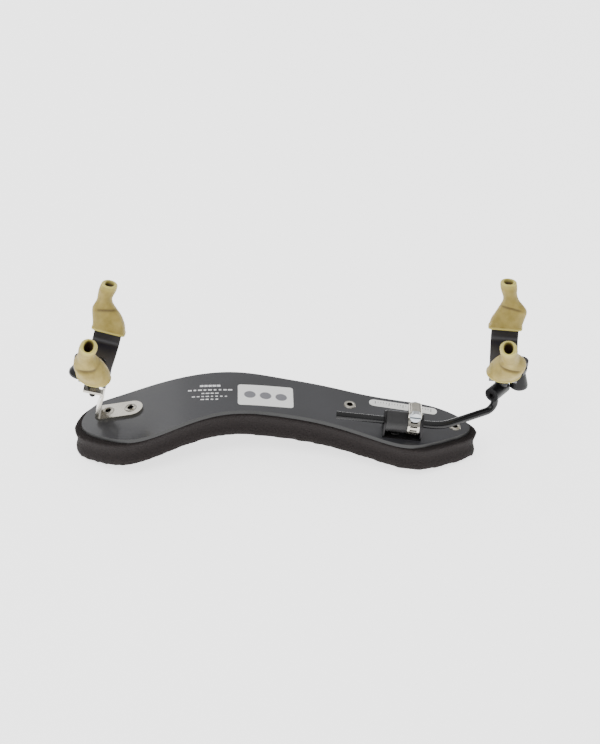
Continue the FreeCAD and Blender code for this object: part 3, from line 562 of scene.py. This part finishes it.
def foam_move(place, facing):
    """How far a point of the smoothed foam moves, from its place and its normal."""
    height, angle = arch_at(place.x)
    normal = Vector((sin(angle), 0, cos(angle)))
    depth = (height - place.z) * cos(angle) - PLATE_SHEET
    share = min(max(depth / FOAM_THICKNESS, 0.0), 1.0)
    outward = facing - normal * facing.dot(normal)
    side = min(max((outward.length - SIDE_FROM) / SIDE_SPAN, 0.0), 1.0)
    hollow = sin(pi * share) ** HOLLOW_POWER * SIDE_HOLLOW
    tuck = max(share - TUCK_FROM, 0.0) * TUCK_SLOPE
    move = -normal * SETTLE * smooth_step(SETTLE_FROM, SETTLE_TO, share)
    if outward.length > TINY:
        move -= outward.normalized() * (hollow + tuck) * side
    if share > CRUMBLE_FROM:
        crumb = noise.noise(place / COARSE_CRUMB) + FINE_SHARE * noise.noise(place / FINE_CRUMB)
        move += facing * crumb * CRUMBLE
    return move


def shaped_foam():
    """The foam pad as a new object, shaped from the CAD solid."""
    foam = bpy.data.objects.new("foam_pad_soft", NODES["foam_pad"].data.copy())
    bpy.context.scene.collection.objects.link(foam)
    remesh = foam.modifiers.new("even_skin", "REMESH")
    remesh.mode = "VOXEL"
    remesh.voxel_size = VOXEL
    graph = bpy.context.evaluated_depsgraph_get()
    mesh = bpy.data.meshes.new_from_object(foam.evaluated_get(graph))
    foam.modifiers.clear()
    foam.data = mesh
    mesh.name = "foam_pad_soft"
    bm = bmesh.new()
    bm.from_mesh(mesh)
    for _ in range(SMOOTHINGS):
        bmesh.ops.smooth_vert(bm, verts=bm.verts, factor=0.5,
                              use_axis_x=True, use_axis_y=True, use_axis_z=True)
    bm.normal_update()
    moves = [foam_move(vert.co, vert.normal) for vert in bm.verts]
    for vert, move in zip(bm.verts, moves):
        vert.co += move
    bmesh.ops.recalc_face_normals(bm, faces=bm.faces)
    for face in bm.faces:
        face.smooth = True
    bm.to_mesh(mesh)
    bm.free()
    mesh.materials.clear()
    mesh.materials.append(foam_cells)
    return foam


foam = shaped_foam()
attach(foam, "pad")
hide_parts("foam_pad")
print("foam:", len(foam.data.vertices), "points")

# %% [markdown]
# ## Rubber feet
# A foot is a hollow rubber horn. Its base is a flat box that slips over the arm of the fork. Above
# it, a round finger rises on the side away from the violin, with an open mouth. The violin's edge
# sits in the notch in front of the finger.
#
# It could be sculpted or cut from solids, but one skin of rings keeps every wall and lip smooth.
# Each ring is a superellipse, |x|^n + |y|^n = 1, which is a rounded box for n = 4 and an ellipse
# for n = 2. A table gives its size and place every few millimetres, and a smooth curve through
# the table fills the rest. The rings climb the outside, roll over the lip of the mouth and go
# down inside. Another few rings line the slot for the arm. Heights and sizes here are in mm.

# %% Shape of a foot
# Along the arm, the edge away from the violin, the edge towards it, the middle of the two faces,
# half the thickness, and the power n.
FOOT_TABLE = [
    (-1.0, -8.1, 8.2, 0.0, 4.3, 4.0),
    (0.0, -8.1, 8.2, 0.0, 4.3, 4.0),
    (3.0, -8.5, 7.8, 0.0, 4.7, 3.6),
    (6.0, -9.3, 6.9, 0.1, 5.1, 3.1),
    (9.0, -10.1, 5.3, 0.3, 5.3, 2.7),
    (11.0, -10.2, 3.7, 0.6, 5.1, 2.5),
    (13.2, -9.3, 1.6, 1.0, 4.7, 2.4),
    (15.2, -8.5, -0.2, 1.4, 4.4, 2.3),
    (17.2, -8.3, -0.9, 1.7, 4.4, 2.2),
    (19.2, -8.3, -0.6, 2.0, 4.6, 2.1),
    (21.2, -8.3, 0.0, 2.2, 4.9, 2.1),
    (23.0, -8.1, 0.3, 2.3, 4.9, 2.1),
    (25.0, -7.6, 0.3, 2.3, 4.8, 2.1),
]
FOOT_POINTS = 56
FOOT_TOP = 23.8             # height of the outer skin, below the round of the lip
CLIMB_RINGS, LIP_RINGS, MOUTH_RINGS = 56, 8, 9
MOUTH_LEAN = 0.20           # how much the mouth tips to the middle of the fork, as a slope
LIP_ROUND = 0.9
MOUTH_WALL = (1.98, 1.21)   # thickness of the finger's wall: along u, along v
MOUTH_DEPTH = 10.0
MOUTH_TAPER = 0.45          # share of its size that the hole loses on the way down
MOUTH_SHIFT = (-0.6, -0.9)  # how far the bottom of the hole is set over
CREASE_DEPTH = 0.9
CREASE_PLACE, CREASE_SLOPE = 12.2, 0.22
SHELF = 0.30                # the skin below the crease stands this much prouder
SKIRT_LIFT = (1.0, 0.6)     # the outer skirt's rise at its middle, and how much more at its corners
DOME = 2.15                 # power of the outer face: nearly an ellipse
DOME_SWELL = 0.22
HEM, HEM_TUCK = 0.38, 0.3   # the moulded bead round the base, and the round of its lower edge
# Painted light on the rubber: painted highlights on the hem, the top rim and the lip, and painted shade in
# the crease, over the lip and down into the mouth.
HEM_HIGHLIGHT, RIM_HIGHLIGHT, LIP_HIGHLIGHT = 0.7, 0.35, 0.85
CREASE_SHADE, LIP_SHADE = 0.75, 0.5
# Where each of these comes in or fades out: heights along the arm, unless it says otherwise.
HEM_FADES, HEM_EDGE = (0.8, 1.5), (0.0, 0.45)
HEM_HIGHLIGHT_FADES, RIM_HIGHLIGHT_GROWS = (0.7, 1.3), (21.5, 23.4)
LEAN_GROWS = (12, 21)
SWELL_FADES = (4, 14)
CREASE_STARTS, CREASE_ENDS = (-9, -6), (0.5, 3.0)      # across the face
SHELF_GROWS, SHELF_EDGE = (4, 9), (-0.8, 0.8)          # the second is a distance from the crease
SKIRT_FADES, SKIRT_ROUND = (0, 9), (-0.4, 0.6)         # the second is a share of the thickness
SKIRT_HALF = 8
LIP_SHADE_GROWS, MOUTH_SHADE_GROWS = (0.75, 1.0), (0.0, 0.15)  # shares of the way over the lip, and down


def along_table(value):
    """A row of the foot table at any height, on a smooth curve through its rows."""
    rows = FOOT_TABLE
    index = max(i for i in range(1, len(rows) - 1) if rows[i][0] <= value or i == 1)
    before, here, after = rows[index - 1], rows[index], rows[index + 1]
    beyond = rows[min(index + 2, len(rows) - 1)]
    t = min(max((value - here[0]) / (after[0] - here[0]), 0.0), 1.0)
    return [0.5 * (2 * b + (c - a) * t + (2 * a - 5 * b + 4 * c - d) * t ** 2
                   + (3 * b - a - 3 * c + d) * t ** 3)
            for a, b, c, d in zip(before[1:], here[1:], after[1:], beyond[1:])]


def superellipse(half_u, half_v, power, outer_power=None):
    """FOOT_POINTS points round a rounded box; the outer side, below v = 0, may be rounder."""
    points = []
    for k in range(FOOT_POINTS):
        c, s = cos(2 * pi * k / FOOT_POINTS), sin(2 * pi * k / FOOT_POINTS)
        n = outer_power if outer_power and s < 0 else power
        reach = (abs(c) ** n + abs(s) ** n) ** (-1 / n)
        points.append((half_u * c * reach, half_v * s * reach))
    return points


def outer_ring(height):
    """One ring of the outer skin: a list of (u, v, along, painted highlight, painted shade)."""
    far, near, face, thick, power = along_table(height)
    bead = HEM * (1 - smooth_step(*HEM_FADES, height)) - HEM_TUCK * (1 - smooth_step(*HEM_EDGE, height))
    lean = MOUTH_LEAN * smooth_step(*LEAN_GROWS, height)
    swell = DOME_SWELL * (1 - smooth_step(*SWELL_FADES, height))
    pale = HEM_HIGHLIGHT * (1 - smooth_step(*HEM_HIGHLIGHT_FADES, height))
    pale += RIM_HIGHLIGHT * smooth_step(*RIM_HIGHLIGHT_GROWS, height)
    ring = []
    for u, v in superellipse((near - far) / 2 + bead, thick + bead, power, min(power, DOME)):
        if v < 0:
            v *= 1 + swell
        side = (near + far) / 2 + u
        fold = CREASE_PLACE + CREASE_SLOPE * side - height
        groove = max(0.0, 1 - abs(fold)) * smooth_step(*CREASE_STARTS, side)
        groove *= 1 - smooth_step(*CREASE_ENDS, side)
        shelf = SHELF * smooth_step(*SHELF_EDGE, fold) * smooth_step(*SHELF_GROWS, height)
        push = (shelf - CREASE_DEPTH * groove) * min(abs(v) / thick, 1.0) ** 3
        skirt = SKIRT_LIFT[0] + SKIRT_LIFT[1] * (side / SKIRT_HALF) ** 2
        skirt *= (1 - smooth_step(*SKIRT_FADES, height)) * (1 - smooth_step(*SKIRT_ROUND, v / thick))
        ring.append((side, face + v + (push if v > 0 else -push), height - lean * v + skirt,
                     pale, CREASE_SHADE * groove))
    return ring


def foot_rings():
    """All rings of the skin: u points to the violin, v to the middle of the fork."""
    rings = [outer_ring(FOOT_TOP * number / CLIMB_RINGS) for number in range(CLIMB_RINGS + 1)]
    far, near, face, thick, power = along_table(FOOT_TOP)
    middle, half_u = (near + far) / 2, (near - far) / 2
    for number in range(1, LIP_RINGS + 1):
        turn = pi * number / LIP_RINGS
        share = (1 - cos(turn)) / 2
        rise = sin(turn) * LIP_ROUND
        # Painted shade grows over the lip and down into the mouth.
        dark = LIP_SHADE * smooth_step(*LIP_SHADE_GROWS, share)
        rings.append([(middle + u, face + v, FOOT_TOP + rise - MOUTH_LEAN * v, LIP_HIGHLIGHT, dark) for u, v
                      in superellipse(half_u - MOUTH_WALL[0] * share, thick - MOUTH_WALL[1] * share, power)])
    hole = superellipse(half_u - MOUTH_WALL[0], thick - MOUTH_WALL[1], power)
    for number in range(1, MOUTH_RINGS + 1):
        share = number / MOUTH_RINGS
        taper = 1 - MOUTH_TAPER * share
        dark = LIP_SHADE + (1 - LIP_SHADE) * smooth_step(*MOUTH_SHADE_GROWS, share)
        rings.append([(middle + MOUTH_SHIFT[0] * share + u * taper,
                       face + MOUTH_SHIFT[1] * share + v * taper,
                       FOOT_TOP - MOUTH_DEPTH * share - MOUTH_LEAN * v * (1 - share), 0.0, dark)
                      for u, v in hole])
    return rings


ARM_SLOT = [  # along the arm, middle, half width, half thickness: the lining of the slot in the base
    (0.15, 0.0, 7.05, 1.5), (0.5, 0.0, 6.82, 1.27), (0.95, 0.0, 6.82, 1.27),
    (1.0, -1.5, 4.07, 1.27), (4.5, -1.5, 4.07, 1.27), (8.55, -1.5, 4.07, 1.27)]
ARM_SLOT_POWER = 14         # almost square corners
# How much painted highlight and painted shade the lining of the slot gets.
ARM_SLOT_PAINTED_LIGHT = (0.2, 0.4)
ARM_ANGLE = radians(67.0)
ARM_BEND = (18.2, -1.2)     # where an arm starts, from the pivot: across, up
ARM_HALF = 1.2
RIM_RISE = 6.8              # from the bend to the foot's lower rim
FOOT_SCALE = 25.2 / 25.4    # brings the heights of the table to the length of the CAD foot
FINGER_SETS = (8, 20)       # the finger sets over between these heights
WOBBLE_SIZE = 7 * MM
WOBBLE = 0.12 * MM
WOBBLE_GROWS = (0.5, 4)     # the lower rim stays true to the arm


def foot_piece(name, swing, toward, side, bow, lean, seed):
    """One foot on the arm at side +1 or -1 of a fork; toward is the fork's way to the violin.

    bow and lean say how far its finger has set over, in mm: to the violin, and outwards.
    """
    origin = Vector(JOINTS[swing]["pos_m"])
    up = Vector(JOINTS[swing]["axis"]).normalized()
    ahead = (Vector(toward) - up * up.dot(Vector(toward))).normalized()
    across = up.cross(ahead)
    arm = across * (cos(ARM_ANGLE) * side) + up * sin(ARM_ANGLE)
    inner = across * (-sin(ARM_ANGLE) * side) + up * cos(ARM_ANGLE)
    bend = origin + (across * (ARM_BEND[0] * side) + up * ARM_BEND[1]) * MM
    base = bend + (arm * RIM_RISE + inner * ARM_HALF) * MM
    bm = bmesh.new()
    # Each point stores its painted highlight in red and its painted shade in green.
    painted_light = bm.verts.layers.float_color.new("painted_light")

    def add_ring(points):
        ring = []
        for u, v, height, pale, dark in points:
            set_over = smooth_step(*FINGER_SETS, height)
            place = base + (ahead * (u + bow * set_over) + inner * (v - lean * set_over)
                            + arm * (height * FOOT_SCALE)) * MM
            wobble = noise.noise_vector(place / WOBBLE_SIZE + Vector((seed, 0, 0))) * WOBBLE
            vert = bm.verts.new(place + wobble * smooth_step(*WOBBLE_GROWS, height))
            vert[painted_light] = (pale, dark, 0.0, 1.0)
            ring.append(vert)
        return ring

    def bridge(lower, upper):
        for k in range(FOOT_POINTS):
            after = (k + 1) % FOOT_POINTS
            bm.faces.new((lower[k], lower[after], upper[after], upper[k]))

    skin = [add_ring(points) for points in foot_rings()]
    for lower, upper in zip(skin, skin[1:]):
        bridge(lower, upper)
    bm.faces.new(skin[-1])
    lining = [add_ring([(middle + u, v, height, *ARM_SLOT_PAINTED_LIGHT)
                        for u, v in superellipse(half_u, half_v, ARM_SLOT_POWER)])
              for height, middle, half_u, half_v in ARM_SLOT]
    bridge(skin[0], lining[0])
    for lower, upper in zip(lining, lining[1:]):
        bridge(lower, upper)
    bm.faces.new(lining[-1])
    bmesh.ops.recalc_face_normals(bm, faces=bm.faces)
    for face in bm.faces:
        face.smooth = True
    mesh = bpy.data.meshes.new(name)
    bm.to_mesh(mesh)
    bm.free()
    mesh.materials.append(khaki)
    piece = bpy.data.objects.new(name, mesh)
    bpy.context.scene.collection.objects.link(piece)
    smoother = piece.modifiers.new("smooth_skin", "SUBSURF")
    smoother.levels = 1
    smoother.render_levels = 1
    return piece


# %% [markdown]
# ## The four feet
# All four feet come from one mould, so one function makes them. Rubber that has been stretched
# over many violins takes a set, so each finger is bent its own small way, and a noise with its
# own start makes each skin slightly uneven. Each foot rides on the body of its fork.

# %% Make the four feet
# The CAD foot it replaces, its fork's joint and body, the side of the fork, and the finger's set.
FEET = [("chest_foot_front", "chest_fork_swing", "chest_grip", -1, -0.8, 0.4),
        ("chest_foot_rear", "chest_fork_swing", "chest_grip", 1, -1.0, 0.0),
        ("shoulder_foot_front", "shoulder_fork_swing", "shoulder_grip", 1, 3.0, 2.6),
        ("shoulder_foot_rear", "shoulder_fork_swing", "shoulder_grip", -1, 4.0, 0.0)]
FORK_YAW = radians(-5.0)    # both forks are turned this far about the vertical
SEED_STEP = 3.7
TOWARD = {"chest_grip": (cos(FORK_YAW), sin(FORK_YAW), 0.0),
          "shoulder_grip": (-cos(FORK_YAW), -sin(FORK_YAW), 0.0)}
for number, (node_name, swing, body, side, bow, lean) in enumerate(FEET):
    piece = foot_piece(node_name + "_rubber", swing, TOWARD[body], side, bow, lean, SEED_STEP * number)
    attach(piece, body)
    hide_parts(node_name)
    print(piece.name, len(piece.data.vertices), "points")

# %% [markdown]
# ## Printed marks, repeated by Geometry Nodes
# Rows of small printed bars stand for print on the plate, and ticks for the scale on the small
# sticker. A mark that repeats is a job for Geometry Nodes: a line of points, one thin bar on
# each, a random length for each bar, then real mesh. The group's inputs have names, but a
# modifier is set through each input's identifier, so a small table looks it up.

# %% Node group for rows of marks
BAR_POINTS = 4              # along a bar, so that it can follow the arch
marks_tree = bpy.data.node_groups.new("printed_row", "GeometryNodeTree")
sockets = marks_tree.interface
for label, kind, value in (("Count", "NodeSocketInt", 5), ("Pitch", "NodeSocketFloat", 2 * MM),
                           ("Length", "NodeSocketFloat", 1 * MM), ("Width", "NodeSocketFloat", 0.5 * MM),
                           ("Variation", "NodeSocketFloat", 0.3), ("Seed", "NodeSocketInt", 1),
                           ("Ink", "NodeSocketMaterial", None)):
    socket = sockets.new_socket(label, in_out="INPUT", socket_type=kind)
    if value is not None:
        socket.default_value = value
sockets.new_socket("Geometry", in_out="OUTPUT", socket_type="NodeSocketGeometry")
INPUT_ID = {item.name: item.identifier for item in sockets.items_tree if item.in_out == "INPUT"}
given = add_node(marks_tree, "NodeGroupInput")
step = add_node(marks_tree, "ShaderNodeCombineXYZ", links={"X": given.outputs["Pitch"]})
row = add_node(marks_tree, "GeometryNodeMeshLine",
               links={"Count": given.outputs["Count"], "Offset": step.outputs[0]})
bar = add_node(marks_tree, "GeometryNodeMeshGrid", inputs={"Vertices X": BAR_POINTS, "Vertices Y": 2},
               links={"Size X": given.outputs["Length"], "Size Y": given.outputs["Width"]})
shortest = add_node(marks_tree, "ShaderNodeMath", {"operation": "SUBTRACT"}, {0: 1.0},
                    {1: given.outputs["Variation"]})
scale = add_node(marks_tree, "FunctionNodeRandomValue", {"data_type": "FLOAT"}, {3: 1.0},
                 {2: shortest.outputs[0], 8: given.outputs["Seed"]})
size = add_node(marks_tree, "ShaderNodeCombineXYZ", inputs={"Y": 1.0, "Z": 1.0},
                links={"X": scale.outputs[1]})
placed = add_node(marks_tree, "GeometryNodeInstanceOnPoints",
                  links={"Points": row.outputs[0], "Instance": bar.outputs[0], "Scale": size.outputs[0]})
real = add_node(marks_tree, "GeometryNodeRealizeInstances", links={"Geometry": placed.outputs[0]})
inked = add_node(marks_tree, "GeometryNodeSetMaterial",
                 links={"Geometry": real.outputs[0], "Material": given.outputs["Ink"]})
add_node(marks_tree, "NodeGroupOutput", links={"Geometry": inked.outputs[0]})
print("printed_row has", len(marks_tree.nodes), "nodes")


def row_of_marks(**values):
    """Run the node group once, and keep its result as a plain mesh."""
    holder = bpy.data.objects.new("marks_holder", bpy.data.meshes.new("marks_holder"))
    bpy.context.scene.collection.objects.link(holder)
    nodes = holder.modifiers.new("marks", "NODES")
    nodes.node_group = marks_tree
    for label, value in values.items():
        nodes[INPUT_ID[label]] = value
    graph = bpy.context.evaluated_depsgraph_get()
    mesh = bpy.data.meshes.new_from_object(holder.evaluated_get(graph))
    bpy.data.objects.remove(holder)
    return mesh


FIRST_SEED = 3


def marks_piece(name, rows, ink, middle, turn, lift):
    """Lay rows of marks on the plate as one thin piece, turned by some degrees about middle."""
    bm = bmesh.new()
    for number, (y, count, pitch, length, width, variation) in enumerate(rows):
        mesh = row_of_marks(Count=count, Pitch=pitch * MM, Length=length * MM, Width=width * MM,
                            Variation=variation, Seed=number + FIRST_SEED, Ink=ink)
        shift = Vector((-pitch * MM * (count - 1) / 2, y * MM, 0))
        mesh.transform(Matrix.Translation(shift))
        bm.from_mesh(mesh)
    turning = Matrix.Rotation(radians(turn), 3, "Z")
    for vert in bm.verts:
        flat = turning @ vert.co + Vector((middle[0], middle[1], 0))
        height, angle = arch_at(flat.x)
        vert.co = Vector((flat.x, flat.y, height)) + Vector((sin(angle), 0, cos(angle))) * lift
    mesh = bpy.data.meshes.new(name)
    bm.to_mesh(mesh)
    bm.free()
    mesh.materials.append(ink)
    piece = bpy.data.objects.new(name, mesh)
    bpy.context.scene.collection.objects.link(piece)
    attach(piece, "pad")
    print(name, len(mesh.polygons), "faces")
    return piece


# %% [markdown]
# ## Print and ticks in place
# The rows are laid out flat, in mm from their own middle, and then every point is set on the
# arch. The print lies a hair above the plate, and the ticks a hair above their sticker, so that
# no two faces share one place.

# %% Print on the plate and ticks on the scale
# Each row: y, count, pitch, length, width, variation.
PRINT_ROWS = [(6.2, 5, 2.1, 1.9, 1.6, 0.4), (2.7, 9, 2.5, 2.2, 1.1, 0.5), (-0.2, 4, 2.3, 1.9, 0.9, 0.5),
              (-2.8, 8, 2.3, 1.9, 0.8, 0.5), (-5.3, 4, 2.4, 2.0, 0.9, 0.4)]
PRINT_PLACE = (-33.4 * MM, 9.2 * MM)     # from the plate's middle, and from the sticker's near edge
print_middle = (PLATE_MIDDLE + PRINT_PLACE[0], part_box("picture_sticker")[0][1] + PRINT_PLACE[1])
printed = marks_piece("plate_print", PRINT_ROWS, ink_white, print_middle, turn=1.5, lift=0.02 * MM)
low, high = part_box("scale_sticker")
scale_middle = ((low[0] + high[0]) / 2, (low[1] + high[1]) / 2)
TICK_ROWS = [(0.9, 21, 1.4, 0.22, 1.1, 0.0), (0.2, 5, 7.0, 0.3, 2.4, 0.0)]
ticks = marks_piece("scale_ticks", TICK_ROWS, ink_dark, scale_middle, turn=-4.0, lift=0.14 * MM)
